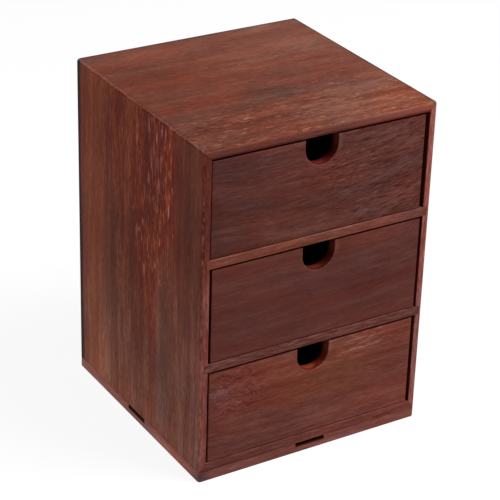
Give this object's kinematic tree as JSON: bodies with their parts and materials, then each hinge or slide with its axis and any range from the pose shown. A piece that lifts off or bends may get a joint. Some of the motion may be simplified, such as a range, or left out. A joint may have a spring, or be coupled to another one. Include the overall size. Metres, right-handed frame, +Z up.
{
  "type": "desktop drawer cabinet",
  "caption": "Small wooden desktop cabinet of stacked drawers with round-bottomed finger notches, on a slotted base frame.",
  "frame": {"origin": "centre of the underside of the base frame", "axes": "+X to the right along the front, +Y from the drawer fronts to the back, +Z up"},
  "size_m": [0.1816, 0.181, 0.25],
  "materials": {
    "top_wood": "satin dark red-brown stain, open light-flecked grain",
    "side_wood": "satin dark red-brown stain, upright grain in glued strips",
    "divider_wood": "satin red-brown stain",
    "front_wood": "satin dark red-brown stain, grain across the front",
    "base_wood": "satin red-brown stain",
    "drawer_wood": "thin red-brown stain, flatter than the outside",
    "thin_panel": "thin stained plywood, matte"
  },
  "bodies": {
    "cabinet": {"top_board": "top_wood", "bottom_board": "base_wood", "left_side_board": "side_wood", "right_side_board": "side_wood", "upper_divider": "divider_wood", "lower_divider": "divider_wood", "back_panel": "thin_panel", "base_front_strip": "base_wood", "base_back_strip": "base_wood", "base_left_strip": "base_wood", "base_right_strip": "base_wood"},
    "upper_drawer": {"upper_drawer_front": "front_wood", "upper_drawer_left_side": "drawer_wood", "upper_drawer_right_side": "drawer_wood", "upper_drawer_back": "drawer_wood", "upper_drawer_floor": "thin_panel"},
    "middle_drawer": {"middle_drawer_front": "front_wood", "middle_drawer_left_side": "drawer_wood", "middle_drawer_right_side": "drawer_wood", "middle_drawer_back": "drawer_wood", "middle_drawer_floor": "thin_panel"},
    "lower_drawer": {"lower_drawer_front": "front_wood", "lower_drawer_left_side": "drawer_wood", "lower_drawer_right_side": "drawer_wood", "lower_drawer_back": "drawer_wood", "lower_drawer_floor": "thin_panel"}
  },
  "joints": [
    {"name": "upper_drawer_slide", "type": "slide", "parent": "cabinet", "child": "upper_drawer", "axis": [0, -1, 0], "range_m": [0, 0.13]},
    {"name": "middle_drawer_slide", "type": "slide", "parent": "cabinet", "child": "middle_drawer", "axis": [0, -1, 0], "range_m": [0, 0.13]},
    {"name": "lower_drawer_slide", "type": "slide", "parent": "cabinet", "child": "lower_drawer", "axis": [0, -1, 0], "range_m": [0, 0.13]}
  ]
}
